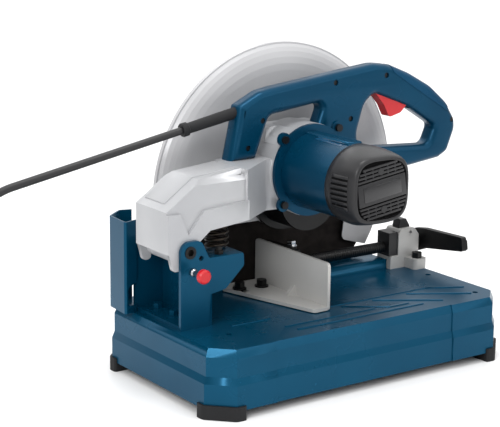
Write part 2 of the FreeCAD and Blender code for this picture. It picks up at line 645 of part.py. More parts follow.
def make_gears():
    toward = math.atan2(MOTOR_Z - SPINDLE_Z, MOTOR_X - SPINDLE_X)
    big_teeth, small_teeth = int(size("gear_teeth")), int(size("pinion_teeth"))
    wheel = prism([moved(gear_outline(big_teeth, toward, 0.8, 0.15), SPINDLE_X, SPINDLE_Z),
                   (SPINDLE_X, SPINDLE_Z, 9 + CLEAR)], 62, 74)
    keep("gear_wheel", wheel)
    gap = toward + math.pi + math.pi / small_teeth
    teeth = prism([moved(gear_outline(small_teeth, gap, 0.8, 0.15), MOTOR_X, MOTOR_Z)], 59, 75)
    shaft = turned([(0, -129.6), (4, -129.6), (4, -118), (6, -118), (6, -64), (8, -64), (8, 38), (6, 40),
                    (6, 59.5),
                    (0, 59.5)], MOTOR_X, MOTOR_Z)
    tip = rod(5, 74, 79, MOTOR_X, MOTOR_Z)
    keep("armature_shaft", fuse(shaft, teeth, tip))


def make_motor():
    u, v = MOTOR_X, MOTOR_Z
    r = size("motor_radius")
    barrel = turned([(r - 3, -88), (r - 0.5, -88), (r, -60), (r + 1, 2), (r + 1, 8), (r - 3, 8)], u, v)
    ears = [(u - 46, v + 45), (u + 42, v + 53), (u - 46, v - 42), (u + 46, v - 42)]
    flange = prism([(u, v, 61.5), (u, v, r - 3)], 3, 8)
    pads = fuse(*[rod(9, 3, 8, x, z) for x, z in ears])
    ear_webs = fuse(flange, pads)
    spine = rounded(prism([[(u - 12, v + 40), (u + 12, v + 40), (u + 12, v + r + 2), (u - 12, v + r + 2)]],
                          -84, 3), 4,
                    lambda e: abs(e.BoundBox.YLength) > 50 and e.BoundBox.ZMin > v + 45)
    bore = rod(r - 3, -90, 10, u, v)
    screws = [rod(2.6, 0, 10, x, z) for x, z in ears]
    keep("motor_housing", cut(fuse(barrel, ear_webs, spine), bore, *screws))
    keep("housing_screws", group(*[fuse(rod(5, -1, 2.9, x, z), rod(2.5, 2.9, 7.9, x, z)) for x, z in ears]))
    # end cap: round at the seam, squarer and smaller at its closed end
    end = -88 - size("cap_length")
    body = turned([(r - 4, -88), (r + 1, -88), (r + 1, -108), (r + 3, -118), (r + 2, end + 6), (r - 2, end),
                   (0, end), (0, end + 4), (38, end + 4), (38, -114), (r - 4, -106)], u, v)
    square = prism([[(u - 44, v - 42, 24), (u + 45, v - 42, 24), (u + 45, v + 41, 24),
                     (u - 44, v + 41, 24)]],
                   -160, -106)
    front = prism([(u, v, 60)], -106, -80)
    shaped = common(body, fuse(square, front))
    slots = []
    for i in range(6):
        z = v - 22 + 9 * i - 4
        for side in (-1, 1):
            slots.append(brick(sorted((u + side * 36, u + side * 60)), (-126, -104), (z - 2, z + 2)))
    for dz in (-32, -25, 25, 32):
        slots.append(brick((u - 24, u + 24), (end - 2, end + 6), (v + dz - 1.6, v + dz + 1.6)))
    boss = rod(13, -139, -120, u, v)
    pocket = rod(9.5, -130, -119, u, v)
    keep("motor_end_cap", cut(fuse(shaped, boss), pocket, *slots))
    keep("badge_plate", rounded(brick((u - 26, u + 34), (end - 1.4, end - 0.1), (v - 12, v + 12)), 1,
                                lambda e: e.BoundBox.YLength > 1 and e.BoundBox.DiagonalLength < 1.4))
    keep("field_core", tube(46.5, 27, -72, -22, u, v))
    keep("field_coils", group(tube(42, 29, -79, -72.1, u, v), tube(42, 29, -21.9, -14, u, v)))
    keep("armature_core", tube(26.3, 8.05, -63.5, -24, u, v))
    keep("commutator", tube(14, 6.02, -100, -82, u, v))
    fan = fuse(tube(12, 8.05, 5, 13, u, v), tube(44, 11, 11, 13, u, v),
               *[placed(brick((14, 43), (5.5, 11.5), (-0.8, 0.8)), V(u, 0, v), V(0, 1, 0), 30 * k)
                 for k in range(12)])
    keep("cooling_fan", fan)
    bearings = [tube(13, 6.03, 41, 51.5, u, v), tube(9.5, 4.03, -129.5, -121, u, v)]
    holders, brushes = [], []
    for side in (-1, 1):
        x = sorted((u + side * 22, u + side * 44))
        holders.append(cut(brick(x, (-98, -84), (v - 6, v + 6)), brick([x[0] - 1, x[1] + 1], (-95, -87),
                                                                        (v - 3.5, v + 3.5))))
        brushes.append(brick(sorted((u + side * 14.6, u + side * 38)), (-94.5, -87.5), (v - 3, v + 3)))
    keep("brush_holders", group(*holders))
    keep("carbon_brushes", group(*brushes))
    return bearings


def make_spindle(motor_bearings):
    u, v, w = SPINDLE_X, SPINDLE_Z, WHEEL_Y
    half = size("wheel_thickness") / 2
    shaft = turned([(0, 52), (6, 52), (6, 60), (9, 61), (9, 76), (10, 76.5), (7.5, 78), (7.5, 90),
                    (10, 90.5),
                    (10, 94), (12.65, 94), (12.65, w + half), (0, w + half)], u, v)
    tapped = rod(5, 85, w + 5, u, v)
    keep("wheel_spindle", cut(shaft, tapped))
    spindle_bearings = [tube(11, 6.03, 52, 59.8, u, v), tube(17.5, 7.53, 79.2, 90, u, v)]
    keep("ball_bearings", group(*(motor_bearings + spindle_bearings)))
    keep("inner_flange", tube(38, 12.7, 98, w - half, u, v))
    disc = prism([(u, v, size("wheel_radius")), (u, v, size("wheel_bore"))], w - half, w + half, "Y",
                 "dims.wheel_thickness")
    keep("cutting_wheel", disc)
    keep("outer_flange", tube(38, 5.2, w + half, w + half + 6, u, v))
    head = prism([hexagon(17, u, v)], w + half + 6, w + half + 14)
    keep("wheel_bolt", fuse(head, rod(4.9, 87, w + half + 7, u, v)))


# ---------------------------------------------------------------- handle, trigger, cord

def handle_outline():
    """Side view: rear leg, long bar, front grip, lower bar and front leg."""
    return [(-112, 278), (-101, 329, 12), (-97, 352, 5), (-64, 368, 30), (-44, 371.5, 100), (85, 387, 300),
            (128, 392, 60), (152, 389, 50), (190, 374, 120), (230, 353, 80), (262, 327, 60), (278, 303, 22),
            (279, 289, 24), (266, 257, 14), (250, 249, 12), (199, 243, 200), (100, 235, 60), (60, 232, 8),
            (20, 262), (31, 318, 6), (42, 347, 8), (-48, 335, 12), (-69, 281)]


def grip_window():
    return [(102, 278, 8), (100, 300, 30), (112, 338, 26), (128, 351, 10), (186, 329, 20), (239, 297, 8),
            (228, 271, 12)]


def make_handle():
    y, half, wall = HANDLE_Y, size("handle_half"), size("handle_wall")
    outer_face = Part.Face(Part.Wire([e.toShape() for e in loop_edges(handle_outline())]))
    window_face = Part.Face(Part.Wire([e.toShape() for e in loop_edges(grip_window())]))
    room_face = outer_face.makeOffset2D(-wall - 1).cut(window_face.makeOffset2D(wall + 1))
    room = doc.addObject("Part::Feature", "HandleRoom")
    room.Shape = room_face.extrude(V(0, 0, 2 * (half - wall)))
    room.Placement = FreeCAD.Placement(V(0, y + half - wall, 0), LOOK["Y"])
    trigger_way = prism([[(126, 340), (126, 366), (150, 366), (194, 348), (194, 322), (176, 310),
                          (150, 312)]],
                        y - 8.5, y + 8.5)
    case_cut = rod(size("case_radius") + 0.1, -5, 62, MOTOR_X, MOTOR_Z)
    spindle_cut = rod(48.1, 29, 77, SPINDLE_X, SPINDLE_Z)
    roof_cut = prism([[(-50.1, 262), (-42.1, 318.1), (52.1, 318.1), (62.1, 262)]], 41.9, 77)
    arm_cut = brick((-140, -50), (y - 30, y + 30), (200, 281.05))
    start, ahead = cord_points()[:2]
    relief = placed(rod(7.6, 50, 110, 0, 0, "X"), start, V(0, 1, 0), -cord_slope(start, ahead))
    hole_places = [(58, 371), (146, 375), (85, 320), (-61, 330), (-84, 296), (270, 303)]
    screws = []
    for name, low, high in (("handle_near_shell", y - half, y), ("handle_far_shell", y, y + half)):
        near = low < y - 1
        body = prism([handle_outline(), grip_window()], low, high)
        edge_y = low if near else high
        soft = rounded(body, 7, lambda e: abs(e.BoundBox.YMin - edge_y) < 0.01 and e.BoundBox.YLength < 0.01)
        holes = []
        for u, v in hole_places:
            holes.append(rod(2.2, low - 1, high + 1, u, v))
            if near:
                holes.append(rod(4, low - 1, low + 5, u, v))
        holes.append(rod(2, y - 9.5, y + 9.5, 182, 335))
        keep(name, cut(soft, room, trigger_way, case_cut, spindle_cut, roof_cut, arm_cut, relief,
                       *holes))
    for u, v in hole_places:
        screws.append(fuse(rod(3.5, y - half + 2, y - half + 5, u, v),
                           rod(2, y - half + 5, y + half - 3, u, v)))
    keep("handle_screws", group(*screws))
    keep("switch_module", brick((98, 120), (y - 8, y + 8), (354, 378)))
    trigger = prism([[(131, 352), (182, 343, 4), (191, 332, 3), (178, 320, 6), (158, 315, 5),
                      (148, 333, 10)]],
                    y - 8, y + 8)
    keep("trigger", cut(trigger, rod(2 + CLEAR, 0, 90, 182, 335)))
    keep("trigger_pin", rod(2, y - 9.5, y + 9.5, 182, 335))


def cord_slope(start, ahead):
    return math.degrees(math.atan2(start.z - ahead.z, start.x - ahead.x))


def cord_points():
    """Route of the lead from its strain relief to the coil, as the centre of the cord."""
    return [V(-178, 38, 326), V(-430, 38, 277), V(-477, 38, 240), V(-489, 38, 180), V(-490, 38, 120),
            V(-496, 38, 62), V(-516, 38, 22), V(-551, 38, 5), V(COIL_X + 50, 38, 5)]


def rounded_path(points):
    """Straight runs joined by the largest tangent arcs that fit; prints the arcs' radii."""
    edges, start, radii = [], points[0], []
    for before, corner, after in zip(points, points[1:], points[2:]):
        back, ahead = before - corner, after - corner
        turn = math.pi - back.getAngle(ahead)
        radius = 0.45 * min(back.Length, ahead.Length) / math.tan(turn / 2)
        radii.append(round(radius))
        first, middle, last = corner_arc(before, corner, after, radius)
        edges.append(Part.LineSegment(start, first).toShape())
        edges.append(Part.Arc(first, middle, last).toShape())
        start = last
    edges.append(Part.LineSegment(start, points[-1]).toShape())
    print("cord arc radii", radii)
    return Part.Wire(edges)


def make_cord():
    radius = size("cord_radius")
    points = cord_points()
    path = rounded_path(points)
    section = Part.Wire(Part.makeCircle(radius, points[0], points[1] - points[0]))
    lead = doc.addObject("Part::Feature", "Lead")
    lead.Shape = path.makePipeShell([section], True, False)
    keep("mains_cord", lead)
    print("cord tube length", round(path.Length), "volume ratio",
          round(lead.Shape.Volume / (math.pi * radius ** 2 * path.Length), 4))
    # strain relief: tapered sleeve with a collar, on the cord's line
    relief = turned([(0, 0), (8, 0), (9, 1.5), (9, 8), (7, 9.5), (7.5, 60), (7.5, 96), (0, 96)], 0, 0, "X")
    keep("strain_relief", placed(relief, points[0], V(0, 1, 0), -cord_slope(*points[:2])))
    ring_r = size("coil_radius")
    ring = turned([(ring_r - 15, 0, 4), (ring_r + 15, 0, 4), (ring_r + 15, 20, 4), (ring_r - 15, 20, 4)],
                  COIL_X, COIL_Y, "Z")
    ring.Placement = FreeCAD.Placement(V(COIL_X, COIL_Y, 0), FreeCAD.Rotation(V(1, 0, 0), 90))
    lead_in = rod("dims.cord_radius", COIL_X, COIL_X + 50, COIL_Y - ring_r, radius, "X")
    # the last turn lies on top, leaves the coil along +Y and runs level into the plug
    tail_x, tail_z, plug_y = COIL_X - ring_r - 10, 15, COIL_Y + 50
    lead_out = rod("dims.cord_radius", COIL_Y, plug_y, tail_x, tail_z)
    keep("cord_coil", fuse(ring, lead_in, lead_out))
    body = turned([(0, plug_y), (8, plug_y, 1), (10, plug_y + 14, 3), (tail_z, plug_y + 26, 4),
                   (tail_z, plug_y + 42, 2), (0, plug_y + 42)], tail_x, tail_z)
    pins = [rod(2.4, plug_y + 41, plug_y + 61, tail_x + dx, tail_z) for dx in (-9.5, 9.5)]
    keep("mains_plug", fuse(body, *pins))


make_base()
make_feet()
make_bracket()
make_pivot()
make_spring_and_stop(make_chute())
make_lock_pin()
make_fence()
make_vice()
make_arm()
make_case_cover()
make_guard()
make_retracting_guard()
make_gears()
make_spindle(make_motor())
make_handle()
make_cord()
doc.recompute()

failed = [item.Name for item in doc.Objects if "Invalid" in item.State or "Error" in item.State]
if failed:
    raise SystemExit("objects failed: " + ", ".join(failed))
os.makedirs("parts", exist_ok=True)
for name, item in nodes.items():
    shape = item.Shape
    if shape.isNull() or not shape.isValid() or not shape.Solids:
        raise SystemExit("bad shape: " + name)
    shape.exportStep("parts/%s.step" % name)
    box = shape.BoundBox
    print("%-22s solids %d  X %.0f %.0f  Y %.0f %.0f  Z %.0f %.0f" % (
        name, len(shape.Solids), box.XMin, box.XMax, box.YMin, box.YMax, box.ZMin, box.ZMax))
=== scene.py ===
import json
import math

import bmesh
import bpy
from mathutils import Matrix, Vector

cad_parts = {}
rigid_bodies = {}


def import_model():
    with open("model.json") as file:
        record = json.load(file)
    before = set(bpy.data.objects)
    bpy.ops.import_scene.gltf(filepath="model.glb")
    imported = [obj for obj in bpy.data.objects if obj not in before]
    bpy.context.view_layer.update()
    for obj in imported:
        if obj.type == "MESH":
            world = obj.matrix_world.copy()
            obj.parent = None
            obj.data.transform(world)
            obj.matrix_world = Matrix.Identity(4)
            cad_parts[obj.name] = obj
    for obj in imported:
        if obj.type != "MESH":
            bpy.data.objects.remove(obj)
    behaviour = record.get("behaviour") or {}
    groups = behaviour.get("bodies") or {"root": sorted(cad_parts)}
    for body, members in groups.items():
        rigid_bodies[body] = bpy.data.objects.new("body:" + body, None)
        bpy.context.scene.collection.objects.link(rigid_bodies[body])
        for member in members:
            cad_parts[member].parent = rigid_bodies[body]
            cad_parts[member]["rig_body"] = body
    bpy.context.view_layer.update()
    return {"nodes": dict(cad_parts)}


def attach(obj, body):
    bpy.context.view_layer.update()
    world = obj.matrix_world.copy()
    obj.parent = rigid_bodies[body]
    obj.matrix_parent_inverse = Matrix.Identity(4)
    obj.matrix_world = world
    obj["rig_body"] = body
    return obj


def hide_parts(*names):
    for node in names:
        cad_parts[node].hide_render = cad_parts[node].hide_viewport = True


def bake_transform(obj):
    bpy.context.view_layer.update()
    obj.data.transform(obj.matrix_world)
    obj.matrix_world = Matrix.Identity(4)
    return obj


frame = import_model()
nodes = frame["nodes"]

# ------------------------------------------------------------------ camera, stage, lights

CAMERA_AZ, CAMERA_EL, CAMERA_ROLL = -35.18, 13.14, 0.643
CAMERA_AT = (-1.1984, -1.5621, 0.6621)
LENS, SENSOR, FAR_CLIP = 109.58, 36, 50
FLOOR_REACH = 9
FLOOR_TONE, FLOOR_ROUGHNESS = 0.86, 0.55
# (sine of the height above the horizon, brightness)
SKY = [(0.0, 0.6), (0.04, 0.6), (0.09, 0.15), (0.24, 0.18), (0.38, 0.95), (0.8, 1.0), (1.0, 0.6)]
SKY_GAIN = 1.6


def add_camera():
    az, el, roll = (math.radians(a) for a in (CAMERA_AZ, CAMERA_EL, CAMERA_ROLL))
    back = Vector((math.sin(az) * math.cos(el), -math.cos(az) * math.cos(el), math.sin(el)))
    right = Vector((0, 0, 1)).cross(back).normalized()
    up = back.cross(right)
    r = right * math.cos(roll) + up * math.sin(roll)
    u = up * math.cos(roll) - right * math.sin(roll)
    data = bpy.data.cameras.new("Camera")
    data.lens, data.sensor_width, data.clip_end = LENS, SENSOR, FAR_CLIP
    obj = bpy.data.objects.new("Camera", data)
    bpy.context.scene.collection.objects.link(obj)
    turn = Matrix((r, u, back)).transposed().to_4x4()
    obj.matrix_world = Matrix.Translation(CAMERA_AT) @ turn
    bpy.context.scene.camera = obj


def area_light(name, at, towards, width, power):
    data = bpy.data.lights.new(name, "AREA")
    data.shape, data.size, data.size_y = "RECTANGLE", width[0], width[1]
    data.energy = power
    obj = bpy.data.objects.new(name, data)
    bpy.context.scene.collection.objects.link(obj)
    obj.location = at
    obj.rotation_euler = (Vector(towards) - Vector(at)).to_track_quat("-Z", "Y").to_euler()


def add_stage():
    mesh = bpy.data.meshes.new("Floor")
    corners = [(FLOOR_REACH * x, FLOOR_REACH * y, 0) for x, y in ((-1, -1), (1, -1), (1, 1), (-1, 1))]
    mesh.from_pydata(corners, [], [(0, 1, 2, 3)])
    floor = bpy.data.objects.new("Floor", mesh)
    bpy.context.scene.collection.objects.link(floor)
    mat = bpy.data.materials.new("FloorPaint")
    mat.use_nodes = True
    shader = mat.node_tree.nodes["Principled BSDF"]
    shader.inputs["Base Color"].default_value = (FLOOR_TONE, FLOOR_TONE, FLOOR_TONE, 1)
    shader.inputs["Roughness"].default_value = FLOOR_ROUGHNESS
    mesh.materials.append(mat)
    world = bpy.data.worlds.new("Studio")
    bpy.context.scene.world = world
    world.use_nodes = True
    # pale at the horizon, dim just above it, bright higher up
    tree = world.node_tree
    sky = tree.nodes.new("ShaderNodeTexCoord").outputs["Generated"]
    split = tree.nodes.new("ShaderNodeSeparateXYZ")
    tree.links.new(sky, split.inputs[0])
    ramp = tree.nodes.new("ShaderNodeValToRGB")
    tree.links.new(split.outputs["Z"], ramp.inputs["Fac"])
    stops = ramp.color_ramp.elements
    while len(stops) < len(SKY):
        stops.new(1)
    for stop, (height, level) in zip(stops, SKY):
        stop.position, stop.color = height, (level, level, level, 1)
    gain = tree.nodes.new("ShaderNodeMath")
    gain.operation = "MULTIPLY"
    gain.inputs[1].default_value = SKY_GAIN
    tree.links.new(ramp.outputs["Color"], gain.inputs[0])
    tree.links.new(gain.outputs["Value"], tree.nodes["Background"].inputs["Strength"])
    tree.nodes["Background"].inputs["Color"].default_value = (1, 1, 1, 1)
    bpy.context.scene.view_settings.view_transform = "Standard"


add_camera()
add_stage()
area_light("Key", (-1.67, -1.15, 1.12), (-0.23, -0.13, 0.08), (0.5, 0.5), 13)
area_light("Strip", (1.1, -1.65, 0.85), (0, -0.13, 0.08), (1.1, 0.3), 3)
area_light("Top", (0.0, -0.3, 2.3), (0.0, 0, 0.2), (0.9, 0.6), 14)
area_light("Back", (0.6, 2.2, 1.4), (0, 0, 0.2), (1.2, 0.8), 6)

# ------------------------------------------------------------------ materials


def srgb(r, g, b):
    """Linear colour of an 8-bit display colour."""
    def linear(c):
        c /= 255
        return c / 12.92 if c <= 0.04045 else ((c + 0.055) / 1.055) ** 2.4
    return (linear(r), linear(g), linear(b), 1)


def noise(tree, scale, detail, links_from):
    node = tree.nodes.new("ShaderNodeTexNoise")
    node.inputs["Scale"].default_value = scale
    node.inputs["Detail"].default_value = detail
    tree.links.new(links_from, node.inputs["Vector"])
    return node.outputs["Fac"]


def remap(tree, value, low, high, start=0.3, stop=0.7):
    node = tree.nodes.new("ShaderNodeMapRange")
    for key, number in (("From Min", start), ("From Max", stop), ("To Min", low), ("To Max", high)):
        node.inputs[key].default_value = number
    tree.links.new(value, node.inputs["Value"])
    return node.outputs["Result"]


def mix_colour(tree, factor, first, second):
    node = tree.nodes.new("ShaderNodeMix")
    node.data_type = "RGBA"
    for socket, item in (("A", first), ("B", second)):
        target = next(i for i in node.inputs if i.name == socket and i.type == "RGBA")
        if isinstance(item, tuple):
            target.default_value = item
        else:
            tree.links.new(item, target)
    tree.links.new(factor, node.inputs[0])
    return next(o for o in node.outputs if o.type == "RGBA")


def finish(name, colour, second, rough, metal=0.0, coat=0.0, specular=0.5, mottle=9,
           grain=900, bump=0.05, bump_size=0.0004, waves=None):
    """Procedural surface: two tones over a slow noise, a grainy bump and uneven gloss."""
    mat = bpy.data.materials.new(name)
    mat.use_nodes = True
    tree = mat.node_tree
    shader = tree.nodes["Principled BSDF"]
    place = tree.nodes.new("ShaderNodeTexCoord").outputs["Object"]
    slow = noise(tree, mottle, 4, place)
    fine = noise(tree, grain, 3, place)
    tone = mix_colour(tree, remap(tree, slow, 0, 1), colour, second)
    tree.links.new(tone, shader.inputs["Base Color"])
    tree.links.new(remap(tree, slow, rough[0], rough[1], 0.35, 0.65), shader.inputs["Roughness"])
    shader.inputs["Metallic"].default_value = metal
    shader.inputs["Coat Weight"].default_value = coat
    shader.inputs["Coat Roughness"].default_value = 0.15
    shader.inputs["Specular IOR Level"].default_value = specular
    height = fine
    if waves:
        wave = tree.nodes.new("ShaderNodeTexWave")
        wave.bands_direction = waves[0]
        wave.inputs["Scale"].default_value = waves[1]
        tree.links.new(place, wave.inputs["Vector"])
        height = wave.outputs["Fac"]
    relief = tree.nodes.new("ShaderNodeBump")
    relief.inputs["Strength"].default_value = bump
    relief.inputs["Distance"].default_value = bump_size
    tree.links.new(height, relief.inputs["Height"])
    tree.links.new(relief.outputs["Normal"], shader.inputs["Normal"])
    return mat


BLUE = finish("BluePaint", srgb(0, 70, 98), srgb(0, 63, 90), (0.24, 0.32), metal=0.45, specular=0.2,
              bump=0.05)
MOULDED_BLUE = finish("BlueMoulded", srgb(0, 61, 88), srgb(0, 54, 80), (0.25, 0.33), metal=0.45,
                      specular=0.2, grain=2500, bump=0.08)
GRIP_BLUE = finish("BlueGrip", srgb(0, 66, 98), srgb(0, 56, 86), (0.4, 0.5), metal=0.5,
                   specular=0.2, grain=1300, bump=0.9)
CAST = finish("CastSilver", srgb(178, 179, 181), srgb(166, 167, 170), (0.36, 0.48), metal=0.3,
              grain=900, bump=0.35)
GUARD = finish("GuardPaint", srgb(182, 182, 184), srgb(175, 175, 177), (0.36, 0.44), metal=0.12,
               coat=0.1, bump=0.04)
GREY = finish("GreyPaint", srgb(186, 185, 182), srgb(174, 173, 171), (0.35, 0.5), metal=0.2,
              bump=0.1)
STEEL = finish("Steel", srgb(170, 170, 172), srgb(150, 150, 153), (0.22, 0.36), metal=1.0,
               grain=1500)
# black steel parts, and painted shade on the lower arm casting
BLACK = finish("BlackSteelAndShade", srgb(16, 16, 17), srgb(10, 10, 11), (0.3, 0.45), specular=0.25,
               grain=1500, bump=0.1)
CHROME = finish("Chrome", srgb(205, 206, 208), srgb(190, 192, 195), (0.08, 0.16), metal=1.0,
                grain=600, bump=0.02)
RED = finish("RedPlastic", srgb(196, 18, 28), srgb(178, 12, 22), (0.3, 0.4), grain=1500)
DARK = finish("BlackPlastic", srgb(32, 32, 34), srgb(24, 24, 26), (0.32, 0.42), specular=0.4,
              grain=1800, bump=0.12)
# painted shade: near-black for the vents and the grooves of the motor cap
PAINTED_SHADE = finish("PaintedCapShade", srgb(8, 8, 9), srgb(5, 5, 6), (0.7, 0.8), specular=0.1)
BADGE = finish("Badge", srgb(22, 22, 25), srgb(17, 17, 20), (0.18, 0.26), coat=0.3, grain=800,
               bump=0.02)
LABEL = finish("BlankLabel", srgb(10, 62, 92), srgb(8, 56, 84), (0.2, 0.26), coat=0.3, grain=400,
               bump=0.02)
RUBBER = finish("Rubber", srgb(24, 25, 27), srgb(18, 18, 20), (0.6, 0.72), specular=0.3, grain=1400,
                bump=0.25)
CORD = finish("CordRubber", srgb(24, 24, 26), srgb(19, 19, 21), (0.36, 0.46), grain=2200, bump=0.1)
LEVER = finish("LeverPaint", srgb(17, 17, 18), srgb(11, 11, 12), (0.34, 0.44), specular=0.2,
               bump=0.1)
WHEEL = finish("BondedAbrasive", srgb(38, 33, 31), srgb(26, 23, 22), (0.8, 0.95), specular=0.2,
               mottle=60, grain=1800, bump=0.9, bump_size=0.0008)
COPPER = finish("Copper", srgb(180, 96, 60), srgb(150, 76, 46), (0.3, 0.45), metal=1.0,
                waves=("Y", 900), bump=0.3)
CARBON = finish("Carbon", srgb(32, 32, 33), srgb(25, 25, 26), (0.6, 0.7), grain=2500, bump=0.2)
SPRING = finish("SpringSteel", srgb(62, 54, 46), srgb(36, 33, 31), (0.28, 0.42), metal=0.8,
                mottle=120, grain=1800, bump=0.1)

LOOKS = {
    BLUE: ["base_tray", "pivot_bracket", "spark_chute", "base_screws"],
    RUBBER: ["rubber_feet", "strain_relief"],
    CORD: ["mains_cord", "cord_coil", "mains_plug"],
    CAST: ["arm_casting"],
    GUARD: ["guard_inner_shell", "guard_outer_shell", "retracting_guard"],
    GREY: ["fence_plate", "vice_block"],
    STEEL: ["pivot_clip", "armature_shaft", "wheel_spindle", "gear_wheel", "ball_bearings",
            "inner_flange", "outer_flange", "wheel_bolt", "latch_pin", "trigger_pin", "lock_pin",
            "field_core", "armature_core", "guard_screws"],
    # gear_case_cover is a black cover, and its black also stands in for the shade under the motor
    BLACK: ["pivot_pin", "housing_screws", "handle_screws", "depth_stop", "gear_case_cover",
            "fence_bolts", "vice_block_bolts", "vice_spindle", "vice_jaw", "jaw_carrier", "crank_grip"],
    SPRING: ["return_spring"],
    CHROME: ["jaw_pivot_bolt"],
    RED: ["lock_pin_button", "trigger"],
    MOULDED_BLUE: ["motor_housing", "handle_near_shell", "handle_far_shell"],
    DARK: ["motor_end_cap", "quick_release_latch", "vice_nut_cover", "spindle_lock_button", "switch_module",
           "cooling_fan", "brush_holders"],
    LEVER: ["crank_lever"],
    BADGE: ["badge_plate"],
    WHEEL: ["cutting_wheel"],
    COPPER: ["field_coils", "commutator"],
    CARBON: ["carbon_brushes"],
}
for material, names in LOOKS.items():
    for node_name in names:
        slots = nodes[node_name].data.materials
        slots.clear()
        slots.append(material)

# ------------------------------------------------------------------ pieces from the frame, edges softened


def new_piece(name, mesh, material, body, smooth=40):
    """Object with a finish and a material slot; body is None where the piece spans two bodies and is
    attached to neither.
    """
    obj = bpy.data.objects.new(name, mesh)
    bpy.context.scene.collection.objects.link(obj)
    mesh.materials.clear()
    mesh.materials.append(material)
    mesh.shade_smooth()
    mesh.set_sharp_from_angle(angle=math.radians(smooth))
    if body:
        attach(obj, body)
    return obj


def softened(node, width, wanted=None, angle=24, segments=3, smooth=38):
    """Stands for a frame node with the same shape and rounded edges; wanted picks the edges."""
    source = nodes[node]
    bm = bmesh.new()
    bm.from_mesh(source.data)
    bmesh.ops.remove_doubles(bm, verts=bm.verts, dist=2e-6)
    bmesh.ops.dissolve_limit(bm, angle_limit=math.radians(1.2), verts=bm.verts, edges=bm.edges)
    limit = math.radians(angle)
    sharp = [e for e in bm.edges if len(e.link_faces) == 2 and e.calc_face_angle() > limit
             and (wanted is None or wanted(e))]
    bmesh.ops.bevel(bm, geom=sharp, offset=width, offset_type="OFFSET", segments=segments, profile=0.5,
                    affect="EDGES", clamp_overlap=True)
    mesh = bpy.data.meshes.new(node + "_soft")
    bm.to_mesh(mesh)
    bm.free()
    piece = new_piece(node + "_soft", mesh, source.data.materials[0], source["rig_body"], smooth)
    even = piece.modifiers.new("EvenNormals", "WEIGHTED_NORMAL")
    even.weight, even.keep_sharp = 100, True
    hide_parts(node)
    return piece


UNDER_TABLE_TOP = 0.0879


def long_edge(reach):
    return lambda e: e.calc_length() > reach


def middle(e):
    return (e.verts[0].co + e.verts[1].co) / 2


def upright(e):
    return abs(e.verts[0].co.z - e.verts[1].co.z) > 0.01


def tray_edge(e):
    return e.calc_length() > 0.012 and middle(e).z < UNDER_TABLE_TOP


softened("base_tray", 0.0022, tray_edge, 12)
softened("pivot_bracket", 0.0008, long_edge(0.006))
softened("spark_chute", 0.0006, long_edge(0.008))
arm = softened("arm_casting", 0.0022, long_edge(0.012), 12)
softened("gear_case_cover", 0.001, long_edge(0.01))
softened("motor_housing", 0.001, long_edge(0.004))
softened("rubber_feet", 0.005, upright, segments=5)
softened("fence_plate", 0.0012, long_edge(0.008))
softened("vice_block", 0.0012, long_edge(0.008))
softened("vice_jaw", 0.0008, long_edge(0.006))
softened("crank_lever", 0.001, long_edge(0.004))


def paint_shade_below(piece, level, x_range, nearest_y, material):
    """Painted shade: a second finish on the faces lower than level, within the X range and beyond the
    nearest Y.
    """
    bm = bmesh.new()
    bm.from_mesh(piece.data)
    bmesh.ops.bisect_plane(bm, geom=bm.verts[:] + bm.edges[:] + bm.faces[:], plane_co=(0, 0, level),
                           plane_no=(0, 0, 1))
    for f in bm.faces:
        at = f.calc_center_median()
        if at.z < level and x_range[0] < at.x < x_range[1] and at.y > nearest_y:
            f.material_index = 1
    bm.to_mesh(piece.data)
    bm.free()
    piece.data.materials.append(material)


# painted shade: the gear case and the spindle case are painted black below this level, standing in for the
# shade under the motor
paint_shade_below(arm, 0.214, (-0.025, 0.08), 0.012, BLACK)

# ------------------------------------------------------------------ mesh tools


def mesh_of(bm, name):
    """Mesh of a finished bmesh, with its normals outward."""
    bmesh.ops.recalc_face_normals(bm, faces=bm.faces)
    mesh = bpy.data.meshes.new(name)
    bm.to_mesh(mesh)
    bm.free()
    return mesh


def lofted(bm, rings):
    """Closed skin through rings of equal point counts."""
    made = [[bm.verts.new(p) for p in ring] for ring in rings]
    count = len(made[0])
    for first, second in zip(made, made[1:]):
        for k in range(count):
            bm.faces.new((first[k], first[(k + 1) % count], second[(k + 1) % count], second[k]))
    bm.faces.new(made[0][::-1])
    bm.faces.new(made[-1])


def add_block(bm, low, high, width, place):
    """Box with rounded edges, turned by place."""
    made = bmesh.ops.create_cube(bm, size=1)["verts"]
    low, high = Vector(low), Vector(high)
    for v in made:
        v.co = (low + high) / 2 + Vector([v.co[i] * (high - low)[i] for i in range(3)])
    edges = list({e for v in made for e in v.link_edges})
    made += bmesh.ops.bevel(bm, geom=edges, offset=width, segments=2, profile=0.5, affect="EDGES",
                            clamp_overlap=True)["verts"]
    bmesh.ops.transform(bm, matrix=place, verts=[v for v in set(made) if v.is_valid])


# steps on an arc, the most of a side that it takes, and the reach below which a corner stays sharp
ARC_STEPS, ARC_SHARE, LEAST_REACH = 6, 0.45, 0.05
EDGE_STEPS = 5


def rounded_loop(corners):
    """Points in metres round a polygon whose corners are (u, v[, radius]) in millimetres."""
    points, count = [], len(corners)
    for i, corner in enumerate(corners):
        at = Vector(corner[:2])
        back = Vector(corners[i - 1][:2]) - at
        ahead = Vector(corners[(i + 1) % count][:2]) - at
        turn = back.angle(ahead)
        wanted = corner[2] if len(corner) > 2 else 0
        reach = min(wanted / math.tan(turn / 2), ARC_SHARE * min(back.length, ahead.length))
        if reach < LEAST_REACH:
            points.append(at)
            continue
        first, last = at + back.normalized() * reach, at + ahead.normalized() * reach
        centre = at + (back.normalized() + ahead.normalized()).normalized() * reach / math.cos(turn / 2)
        start = math.atan2(*(first - centre).yx)
        sweep = (math.atan2(*(last - centre).yx) - start + math.pi) % (2 * math.pi) - math.pi
        radius = (first - centre).length
        angles = [start + sweep * k / ARC_STEPS for k in range(ARC_STEPS + 1)]
        points += [centre + radius * Vector((math.cos(a), math.sin(a))) for a in angles]
    return [p / 1000 for p in points]


